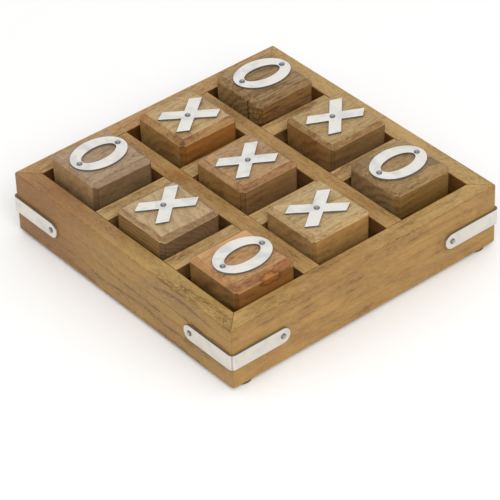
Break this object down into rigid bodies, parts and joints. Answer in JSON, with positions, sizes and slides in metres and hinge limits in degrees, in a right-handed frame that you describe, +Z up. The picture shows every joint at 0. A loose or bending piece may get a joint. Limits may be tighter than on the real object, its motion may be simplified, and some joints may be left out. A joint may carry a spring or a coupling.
{
  "type": "tic tac toe set",
  "caption": "Square wooden tic tac toe tray with loose wooden blocks that carry sheet metal Xs and Os, and metal straps round its corners.",
  "frame": {"origin": "middle of the set, on the surface that it stands on", "axes": "+Z up; +Y is the top of each letter, and +X runs along the front rail to the right"},
  "size_m": [0.182, 0.182, 0.0515],
  "materials": {
    "rail_wood": "oiled hardwood, satin",
    "divider_wood": "oiled hardwood, satin",
    "panel_wood": "dark stained, matt",
    "block_wood_pale": "oiled hardwood, satin",
    "block_wood_tan": "oiled hardwood, satin",
    "block_wood_red": "oiled hardwood, satin",
    "block_wood_brown": "oiled hardwood, satin",
    "sheet_metal": "satin sheet with darker cut edges",
    "nail_steel": "satin, domed head",
    "foot_felt": "pressed felt"
  },
  "bodies": {
    "tray": {"rail_front": "rail_wood", "rail_right": "rail_wood", "rail_back": "rail_wood", "rail_left": "rail_wood", "base_panel": "panel_wood", "divider_front": "divider_wood", "divider_back": "divider_wood", "divider_left": "divider_wood", "divider_right": "divider_wood", "strap_front_right": "sheet_metal", "strap_nails_front_right": "nail_steel", "foot_front_right": "foot_felt", "strap_back_right": "sheet_metal", "strap_nails_back_right": "nail_steel", "foot_back_right": "foot_felt", "strap_back_left": "sheet_metal", "strap_nails_back_left": "nail_steel", "foot_back_left": "foot_felt", "strap_front_left": "sheet_metal", "strap_nails_front_left": "nail_steel", "foot_front_left": "foot_felt"},
    "piece_front_left": {"block_front_left": "block_wood_brown", "letter_front_left": "sheet_metal", "letter_nails_front_left": "nail_steel"},
    "piece_front_centre": {"block_front_centre": "block_wood_pale", "letter_front_centre": "sheet_metal", "letter_nails_front_centre": "nail_steel"},
    "piece_front_right": {"block_front_right": "block_wood_red", "letter_front_right": "sheet_metal", "letter_nails_front_right": "nail_steel"},
    "piece_middle_left": {"block_middle_left": "block_wood_red", "letter_middle_left": "sheet_metal", "letter_nails_middle_left": "nail_steel"},
    "piece_middle_centre": {"block_middle_centre": "block_wood_tan", "letter_middle_centre": "sheet_metal", "letter_nails_middle_centre": "nail_steel"},
    "piece_middle_right": {"block_middle_right": "block_wood_pale", "letter_middle_right": "sheet_metal", "letter_nails_middle_right": "nail_steel"},
    "piece_back_left": {"block_back_left": "block_wood_brown", "letter_back_left": "sheet_metal", "letter_nails_back_left": "nail_steel"},
    "piece_back_centre": {"block_back_centre": "block_wood_tan", "letter_back_centre": "sheet_metal", "letter_nails_back_centre": "nail_steel"},
    "piece_back_right": {"block_back_right": "block_wood_brown", "letter_back_right": "sheet_metal", "letter_nails_back_right": "nail_steel"}
  },
  "joints": [
    {"name": "lift_front_left", "type": "slide", "parent": "tray", "child": "piece_front_left", "axis": [0, 0, 1], "range_m": [0, 0.045]},
    {"name": "lift_front_centre", "type": "slide", "parent": "tray", "child": "piece_front_centre", "axis": [0, 0, 1], "range_m": [0, 0.045]},
    {"name": "lift_front_right", "type": "slide", "parent": "tray", "child": "piece_front_right", "axis": [0, 0, 1], "range_m": [0, 0.045]},
    {"name": "lift_middle_left", "type": "slide", "parent": "tray", "child": "piece_middle_left", "axis": [0, 0, 1], "range_m": [0, 0.045]},
    {"name": "lift_middle_centre", "type": "slide", "parent": "tray", "child": "piece_middle_centre", "axis": [0, 0, 1], "range_m": [0, 0.045]},
    {"name": "lift_middle_right", "type": "slide", "parent": "tray", "child": "piece_middle_right", "axis": [0, 0, 1], "range_m": [0, 0.045]},
    {"name": "lift_back_left", "type": "slide", "parent": "tray", "child": "piece_back_left", "axis": [0, 0, 1], "range_m": [0, 0.045]},
    {"name": "lift_back_centre", "type": "slide", "parent": "tray", "child": "piece_back_centre", "axis": [0, 0, 1], "range_m": [0, 0.045]},
    {"name": "lift_back_right", "type": "slide", "parent": "tray", "child": "piece_back_right", "axis": [0, 0, 1], "range_m": [0, 0.045]}
  ]
}
